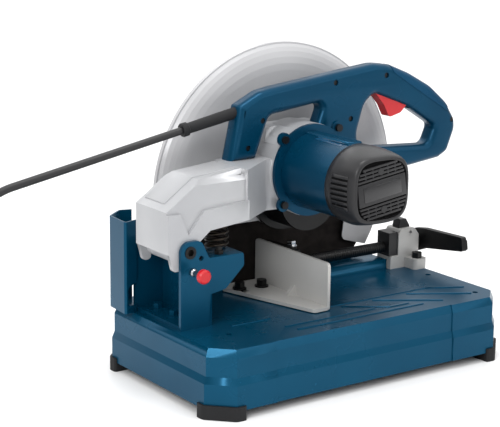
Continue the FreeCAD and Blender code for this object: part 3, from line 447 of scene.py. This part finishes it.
def plate(name, loops, y, half, bevel):
    """Upright plate of outlines in XZ, centred on y, with fully rounded edges."""
    curve = bpy.data.curves.new(name, "CURVE")
    curve.dimensions, curve.fill_mode = "2D", "BOTH"
    for loop in loops:
        spline = curve.splines.new("POLY")
        spline.points.add(len(loop) - 1)
        for point, at in zip(spline.points, loop):
            point.co = (at.x, at.y, 0, 1)
        spline.use_cyclic_u = True
    curve.extrude, curve.bevel_depth, curve.offset = half - bevel, bevel, -bevel
    curve.bevel_resolution = EDGE_STEPS
    holder = bpy.data.objects.new(name, curve)
    bpy.context.scene.collection.objects.link(holder)
    bpy.context.view_layer.update()
    mesh = bpy.data.meshes.new_from_object(holder.evaluated_get(bpy.context.evaluated_depsgraph_get()))
    bpy.data.objects.remove(holder)
    mesh.transform(Matrix.Translation((0, y, 0)) @ Matrix.Rotation(math.pi / 2, 4, "X"))
    bm = bmesh.new()
    bm.from_mesh(mesh)
    bmesh.ops.remove_doubles(bm, verts=bm.verts, dist=1e-6)
    return mesh_of(bm, name)


def add_rod(bm, start, end, radius, sides=24):
    ahead = (Vector(end) - Vector(start)).normalized()
    side = ahead.orthogonal().normalized()
    up = ahead.cross(side)
    angles = [2 * math.pi * k / sides for k in range(sides)]
    ring = [(side * math.cos(a) + up * math.sin(a)) * radius for a in angles]
    lofted(bm, [[Vector(start) + r for r in ring], [Vector(end) + r for r in ring]])


def carve(mesh, cutter):
    """The mesh less the cutter mesh."""
    base, tool = (bpy.data.objects.new(n, m) for n, m in (("CarveBase", mesh), ("CarveTool", cutter)))
    for obj in (base, tool):
        bpy.context.scene.collection.objects.link(obj)
    change = base.modifiers.new("Carve", "BOOLEAN")
    change.operation, change.solver, change.object = "DIFFERENCE", "EXACT", tool
    bpy.context.view_layer.update()
    made = bpy.data.meshes.new_from_object(base.evaluated_get(bpy.context.evaluated_depsgraph_get()))
    made.name = mesh.name + "_carved"
    for obj in (base, tool):
        bpy.data.objects.remove(obj)
    return made


SKIN_SUNK = 0.0004


def add_skin(name, mesh, planes, proud, material):
    """Thin raised skin on the arm, over the part of a mesh inside every (point, outward normal) plane."""
    bm = bmesh.new()
    bm.from_mesh(mesh)
    for at, normal in planes:
        bmesh.ops.bisect_plane(bm, geom=bm.verts[:] + bm.edges[:] + bm.faces[:], plane_co=at,
                               plane_no=normal, clear_outer=True)
    bm.normal_update()
    lifted = {v: v.co + v.normal * proud for v in bm.verts}
    rim = [e for e in bm.edges if e.is_boundary]
    low = {v: bm.verts.new(v.co - v.normal * SKIN_SUNK) for e in rim for v in e.verts}
    for v, at in lifted.items():
        v.co = at
    for e in rim:
        a, b = e.verts
        bm.faces.new((a, b, low[b], low[a]))
    new_piece(name, mesh_of(bm, name), material, "arm", 50)


# ------------------------------------------------------------------ handle

HANDLE_Y, HANDLE_HALF, HANDLE_ROUND = 0.038, 0.014, 0.0095
TRIGGER_WAY_HALF = 0.0085
HOLE_START_Y, HOLE_FLOOR_Y, HOLE_RADIUS = 0.02, 0.0285, 0.0039
HEAD_Y, HEAD_HEIGHT, HEAD_RADIUS = 0.0272, 0.002, 0.0031
# outlines in XZ, in millimetres, with a radius at each rounded corner
HANDLE_OUTLINE = [
    (-112, 278), (-101, 329, 12), (-97, 352, 5), (-64, 368, 30), (-44, 371.5, 100), (85, 387, 300),
    (128, 392, 60), (152, 389, 50), (190, 374, 120), (230, 353, 80), (262, 327, 60), (278, 303, 22),
    (279, 289, 24), (266, 257, 14), (250, 249, 12), (199, 243, 200), (100, 235, 60), (60, 232, 8),
    (20, 262), (31, 318, 6), (42, 347, 8), (-48, 335, 12), (-69, 281)]
GRIP_WINDOW = [(102, 278, 8), (100, 300, 30), (112, 338, 26), (128, 351, 10), (186, 329, 20), (239, 297, 8),
               (228, 271, 12)]
TRIGGER_WAY = [(126, 340), (126, 366), (150, 366), (194, 348), (194, 322), (176, 310), (150, 312)]
SCREW_HOLES = [(58, 371), (146, 375), (85, 320), (-61, 330), (-84, 296), (270, 303)]
GRIP_PAD_PLANES = [((0.158, 0, 0.38), (-1, 0, -0.35)), ((0.262, 0, 0.32), (0.8, 0, -0.6)),
                   ((0.166, 0, 0.3735), (-0.52, 0, -0.85))]
handle = plate("handle_moulding", [rounded_loop(HANDLE_OUTLINE), rounded_loop(GRIP_WINDOW)], HANDLE_Y,
               HANDLE_HALF, HANDLE_ROUND)
cutters = bmesh.new()
way = rounded_loop(TRIGGER_WAY)
lofted(cutters, [[Vector((p.x, HANDLE_Y + dy, p.y)) for p in way]
                 for dy in (-TRIGGER_WAY_HALF, TRIGGER_WAY_HALF)])
for u, v in SCREW_HOLES:
    add_rod(cutters, (u / 1000, HOLE_START_Y, v / 1000), (u / 1000, HOLE_FLOOR_Y, v / 1000), HOLE_RADIUS)
handle = carve(handle, mesh_of(cutters, "cutters"))
moulding = new_piece("handle_moulding", handle, MOULDED_BLUE, "arm", 32)
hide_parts("handle_near_shell", "handle_far_shell")

heads = bmesh.new()
for u, v in SCREW_HOLES:
    at = Vector((u / 1000, HEAD_Y, v / 1000))
    add_rod(heads, at, at + Vector((0, HEAD_HEIGHT, 0)), HEAD_RADIUS, 6)
new_piece("handle_screw_heads", mesh_of(heads, "heads"), BLACK, "arm")

add_skin("grip_pad", handle, GRIP_PAD_PLANES, 0.0007, GRIP_BLUE)

# ------------------------------------------------------------------ blank label on the motor

MOTOR_X, MOTOR_Z, MOTOR_RADIUS = 0.0048, 0.2616, 0.05
LABEL_NEAR_Y, LABEL_FAR_Y = -0.078, -0.022
LABEL_LEFT, LABEL_RIGHT = MOTOR_X - 0.018, MOTOR_X + 0.036
LEAST_RISE, LEAST_TILT, ROUNDNESS = 0.02, 0.35, 0.0012


def on_motor_top(face):
    """Whether a face is part of the motor's round wall, near its top."""
    at = face.calc_center_median()
    off_wall = abs((at.xz - Vector((MOTOR_X, MOTOR_Z))).length - MOTOR_RADIUS)
    return face.normal.z > LEAST_TILT and at.z > MOTOR_Z + LEAST_RISE and off_wall < ROUNDNESS


housing = bmesh.new()
housing.from_mesh(nodes["motor_housing"].data)
bmesh.ops.remove_doubles(housing, verts=housing.verts, dist=2e-6)
keepers = [f for f in housing.faces if on_motor_top(f)]
bmesh.ops.delete(housing, geom=list(set(housing.faces) - set(keepers)), context="FACES")
add_skin("blank_label", mesh_of(housing, "label_skin"),
         [((0, LABEL_NEAR_Y, 0), (0, -1, 0)), ((0, LABEL_FAR_Y, 0), (0, 1, 0)),
          ((LABEL_LEFT, 0, 0), (-1, 0, 0)), ((LABEL_RIGHT, 0, 0), (1, 0, 0))], 0.0003, LABEL)

# ------------------------------------------------------------------ hood's roof panel

# the roof's line in XZ, and how far the panel stands over and under it, all in millimetres
ROOF = [(-231, 245.3), (-190, 274.3), (-126, 280.6)]
PANEL_PROUD, PANEL_SUNK = (-0.455, 1.3), (0.6, -1.5)
PANEL_Y, PANEL_EDGE = (-0.006, 0.040), 0.0009
panel = bmesh.new()
upper, lower = ([Vector((u + du, v + dv)) for u, v in ROOF] for du, dv in (PANEL_PROUD, PANEL_SUNK))
loop = [p / 1000 for p in upper + lower[::-1]]
lofted(panel, [[Vector((p.x, y, p.y)) for p in loop] for y in PANEL_Y])
bmesh.ops.bevel(panel, geom=panel.edges[:], offset=PANEL_EDGE, segments=2, profile=0.5, affect="EDGES",
                clamp_overlap=True)
new_piece("hood_panel", mesh_of(panel, "hood_panel"), CAST, "arm", 40)

# ------------------------------------------------------------------ motor end cap

CAP_AT = Vector((0.0052, 0, 0.2604))
FACE_TURN = Matrix.Translation(CAP_AT) @ Matrix.Rotation(math.radians(-8), 4, "Y")
# (y, half width, half height, squareness) of each ring, in millimetres; 2 is round
CAP_RINGS = [
    (-88, 46.5, 46.5, 2), (-88, 50.6, 50.6, 2), (-88.8, 51.4, 51.4, 2), (-97, 51.4, 51.4, 2.05),
    (-106, 51, 51, 2.2), (-113, 50, 49.6, 2.5), (-121, 48.6, 47.6, 2.9), (-129, 47, 45.6, 3.2),
    (-135, 45.6, 44, 3.4), (-138.6, 44.3, 42.5, 3.5), (-140.4, 42.8, 41, 3.5), (-141, 40.8, 39, 3.5),
    (-140.5, 39.6, 37.8, 3.5), (-136.5, 39.2, 37.4, 3.5)]
VENT_HALF_X, VENT_HALF_Z, VENT_SQUARE = 38.5, 37, 3.5
VENT_SHADE_SHEET = [(-136.9, 38.8, 37, 3.5), (-136.2, 38.8, 37, 3.5)]
SLAT_LEVELS, SLAT_HALF, SLAT_FRONT_Y = (17.5, 22.2, 26.9, 31.6), 1.5, -140.9
POST_PLACES, POST_HALF, POST_FRONT_Y = (-24, -12, 12, 24), (1.1, 8.5), -140.2
VENT_MIDDLE, VENT_BACK_Y = 24.5, -136.2
BOSS_ENDS_Y, BOSS_RADIUS = (-136.5, -141.3), 4.6
BAND_HALF, BAND_FRONT_Y = (38.5, 14.5), -141.4
BADGE_HALF, BADGE_Y = (30, 9.5), (-142.2, -140.8)
RIB_LINE = [(-101, 51.4, 2.1), (-106, 51, 2.2), (-113, 50, 2.5), (-121, 48.6, 2.9), (-129, 47, 3.2)]
CAP_SIDES = 72
RIB_COUNT, RIB_LOWEST, RIB_STEP, RIB_HALF, RIB_PROUD = 7, -21.5, 6.6, 1.9, 1.1
GROOVE_PROUD, RIB_DEPTH, RIB_FLATTER = 0.12, 2, 0.8


def squircle(y, half_x, half_z, power):
    """Ring that runs from round (power 2) towards square, round the motor's line."""
    ring = []
    for k in range(CAP_SIDES):
        a = 2 * math.pi * k / CAP_SIDES
        c, w = math.cos(a), math.sin(a)
        ring.append(CAP_AT + Vector((half_x * math.copysign(abs(c) ** (2 / power), c), y,
                                     half_z * math.copysign(abs(w) ** (2 / power), w))) / 1000)
    return ring


def chord(z, half_x, half_z, power):
    """Half width at height z of the same shape."""
    return half_x * max(0.0, 1 - abs(z / half_z) ** power) ** (1 / power)


def metres(point):
    return Vector([c / 1000 for c in point])


def add_face_block(bm, low, high, width):
    """Rounded block on the cap's tilted face, with corners in millimetres."""
    add_block(bm, metres(low), metres(high), width, FACE_TURN)


def add_louvre(bm, side, low, high, proud):
    """Bar along one side of the cap, between two heights, following the wall."""
    rings = []
    for y, half, power in RIB_LINE:
        inner, outer = [], []
        for level in (low, high):
            x = chord(level, half, half - RIB_FLATTER, power)
            outer.append(CAP_AT + Vector((side * (x + proud), y, level)) / 1000)
            inner.append(CAP_AT + Vector((side * (x - RIB_DEPTH), y, level)) / 1000)
        rings.append(outer + inner[::-1])
    lofted(bm, rings)


def cap_part(name, bm, material, smooth):
    return new_piece(name, mesh_of(bm, name), material, "arm", smooth)


cap = bmesh.new()
lofted(cap, [squircle(*ring) for ring in CAP_RINGS])
cap_piece = cap_part("motor_cap", cap, DARK, 45)
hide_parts("motor_end_cap")

slats = bmesh.new()
for side in (-1, 1):
    for z in SLAT_LEVELS:
        reach = chord(z + SLAT_HALF, VENT_HALF_X, VENT_HALF_Z, VENT_SQUARE)
        add_face_block(slats, (-reach, SLAT_FRONT_Y, side * z - SLAT_HALF),
                       (reach, VENT_BACK_Y, side * z + SLAT_HALF), 0.0005)
    for x in POST_PLACES:
        add_face_block(slats, (x - POST_HALF[0], POST_FRONT_Y, side * VENT_MIDDLE - POST_HALF[1]),
                       (x + POST_HALF[0], VENT_BACK_Y, side * VENT_MIDDLE + POST_HALF[1]), 0.0004)
    boss = [FACE_TURN @ metres((0, y, side * VENT_MIDDLE)) for y in BOSS_ENDS_Y]
    add_rod(slats, boss[0], boss[1], BOSS_RADIUS / 1000)
add_face_block(slats, (-BAND_HALF[0], BAND_FRONT_Y, -BAND_HALF[1]),
               (BAND_HALF[0], VENT_BACK_Y, BAND_HALF[1]), 0.0012)
cap_part("cap_slats", slats, DARK, 40)
# painted shade: a near-black sheet behind the vent slats stands in for the shade inside the cap
vent_shade_sheet = bmesh.new()
lofted(vent_shade_sheet, [squircle(*ring) for ring in VENT_SHADE_SHEET])
cap_part("cap_vent_floor", vent_shade_sheet, PAINTED_SHADE, 40)
badge = bmesh.new()
add_face_block(badge, (-BADGE_HALF[0], BADGE_Y[0], -BADGE_HALF[1]),
               (BADGE_HALF[0], BADGE_Y[1], BADGE_HALF[1]), 0.0006)
badge_piece = cap_part("blank_badge", badge, BADGE, 40)
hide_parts("badge_plate")

# painted shade: near-black strips between the ribs stand in for the shade in the grooves
ribs, groove_shade = bmesh.new(), bmesh.new()
for side in (-1, 1):
    for step in range(RIB_COUNT):
        z = RIB_LOWEST + RIB_STEP * step
        add_louvre(ribs, side, z - RIB_HALF, z + RIB_HALF, RIB_PROUD)
        if step < RIB_COUNT - 1:
            add_louvre(groove_shade, side, z + RIB_HALF, z + RIB_STEP - RIB_HALF, GROOVE_PROUD)
bmesh.ops.bevel(ribs, geom=ribs.edges[:], offset=0.0004, segments=1, affect="EDGES", clamp_overlap=True)
cap_part("cap_ribs", ribs, DARK, 50)
cap_part("cap_grooves", groove_shade, PAINTED_SHADE, 50)

# ------------------------------------------------------------------ vice screw

# all in millimetres
VICE_Y, VICE_Z = 67, 118
SCREW_START, SCREW_END, SCREW_STEPS, SCREW_SIDES = 23, 256, 450, 32
PITCH, THREAD_MIDDLE, THREAD_DEPTH, THREAD_STEEPNESS = 4.0, 7.45, 0.5, 1.8
NECK_END, THREAD_START, THREAD_END, TAIL_START = 34.1, 42, 226, 247
NECK_RADIUS, PLAIN_RADIUS, TAIL_RADIUS = 6, 7.95, 5


def screw_radius(x, angle):
    """Radius of the vice screw, with a single-start thread between its plain ends."""
    if x < NECK_END:
        return NECK_RADIUS
    if x > TAIL_START:
        return TAIL_RADIUS
    if x < THREAD_START or x > THREAD_END:
        return PLAIN_RADIUS
    wave = math.cos(2 * math.pi * x / PITCH - angle)
    return THREAD_MIDDLE + THREAD_DEPTH * max(-1, min(1, THREAD_STEEPNESS * wave))


screw = bmesh.new()
around = [2 * math.pi * k / SCREW_SIDES for k in range(SCREW_SIDES)]
rings = []
stations = [SCREW_START + (SCREW_END - SCREW_START) * i / SCREW_STEPS for i in range(SCREW_STEPS + 1)]
for x in stations:
    reach = [screw_radius(x, a) for a in around]
    rings.append([Vector((x, VICE_Y + r * math.cos(a), VICE_Z + r * math.sin(a))) / 1000
                  for r, a in zip(reach, around)])
lofted(screw, rings)
screw_piece = new_piece("vice_screw_thread", mesh_of(screw, "vice_screw_thread"), BLACK, "vice_screw",
                        35)
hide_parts("vice_spindle")

# ------------------------------------------------------------------ mains lead

CORD_RADIUS = 0.005
# The CAD route with three changes: the second point is added on the first run, the corner that ends
# that run is 10 mm further along it, and the last three points lean 1, 3 and 8 mm towards -Y.
ROUTE = [(-0.178, 0.038, 0.326), (-0.390, 0.038, 0.2848), (-0.440, 0.038, 0.2751),
         (-0.477, 0.038, 0.240), (-0.489, 0.038, 0.180), (-0.490, 0.038, 0.120),
         (-0.496, 0.038, 0.062), (-0.516, 0.037, 0.022), (-0.551, 0.035, 0.005), (-0.590, 0.030, 0.005)]
COIL_AT = Vector((-0.640, 0.093, 0))
TURNS, PER_TURN = 5.25, 16
# (turns so far, radius) and (turns so far, height)
COIL_REACH = [(0, 0.069), (2, 0.047), (2.5, 0.044), (2.9, 0.044), (5.25, 0.068)]
COIL_HEIGHT = [(0, 0.005), (2, 0.005), (2.5, 0.0155), (6, 0.0155)]
TAIL = [(-0.7065, 0.115, 0.0153), (-0.705, 0.130, 0.015), (-0.705, 0.146, 0.015)]


def between(t, knots):
    """Straight-line value at t through (t, value) knots."""
    for (t0, v0), (t1, v1) in zip(knots, knots[1:]):
        if t <= t1:
            return v0 + (v1 - v0) * (t - t0) / (t1 - t0)
    return knots[-1][1]


def coil_points():
    """Turns wound inwards on the floor, then outwards on top of them."""
    points = []
    for i in range(int(TURNS * PER_TURN) + 1):
        t = i / PER_TURN
        reach = between(t, COIL_REACH)
        angle = -math.pi / 2 - 2 * math.pi * t
        height = between(t, COIL_HEIGHT)
        points.append(COIL_AT + Vector((reach * math.cos(angle), reach * math.sin(angle), height)))
    return points


def spline_line(points):
    """Smooth NURBS line through the route, as evenly read points."""
    curve = bpy.data.curves.new("Line", "CURVE")
    curve.dimensions = "3D"
    curve.resolution_u = 12
    spline = curve.splines.new("NURBS")
    spline.points.add(len(points) - 1)
    for point, at in zip(spline.points, points):
        point.co = (*at, 1)
    spline.order_u = 3
    spline.use_endpoint_u = True
    holder = bpy.data.objects.new("Line", curve)
    bpy.context.scene.collection.objects.link(holder)
    bpy.context.view_layer.update()
    read = bpy.data.meshes.new_from_object(holder)
    line = [v.co.copy() for v in read.vertices]
    bpy.data.objects.remove(holder)
    return line


def swept(name, line, radius, sides=16):
    """Closed tube mesh round a line."""
    rings = []
    angles = [2 * math.pi * k / sides for k in range(sides)]
    side = Vector((0, 1, 0))
    for i, at in enumerate(line):
        ahead = (line[min(i + 1, len(line) - 1)] - line[max(i - 1, 0)]).normalized()
        side = (side - ahead * side.dot(ahead)).normalized()
        up = ahead.cross(side)
        rings.append([at + (side * math.cos(a) + up * math.sin(a)) * radius for a in angles])
    bm = bmesh.new()
    lofted(bm, rings)
    return mesh_of(bm, name)


line = spline_line([Vector(p) for p in ROUTE] + coil_points() + [Vector(p) for p in TAIL])
lead = new_piece("mains_lead", swept("mains_lead", line, CORD_RADIUS), CORD, None, 60)
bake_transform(lead)
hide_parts("mains_cord", "cord_coil")

# ------------------------------------------------------------------ guard seam

GUARD_X, GUARD_Z, SEAM_Y = 0.022, 0.22, 0.106
SEAM_RADIUS, SEAM_THICKNESS = 0.1984, 0.0007
SEAM_START, SEAM_SWEEP, SEAM_STEPS = -12, 204, 90
seam_angles = [math.radians(SEAM_START + SEAM_SWEEP * k / SEAM_STEPS) for k in range(SEAM_STEPS + 1)]
seam_line = [Vector((GUARD_X + SEAM_RADIUS * math.cos(a), SEAM_Y, GUARD_Z + SEAM_RADIUS * math.sin(a)))
             for a in seam_angles]
new_piece("guard_seam", swept("guard_seam", seam_line, SEAM_THICKNESS, 8), DARK, "arm", 50)
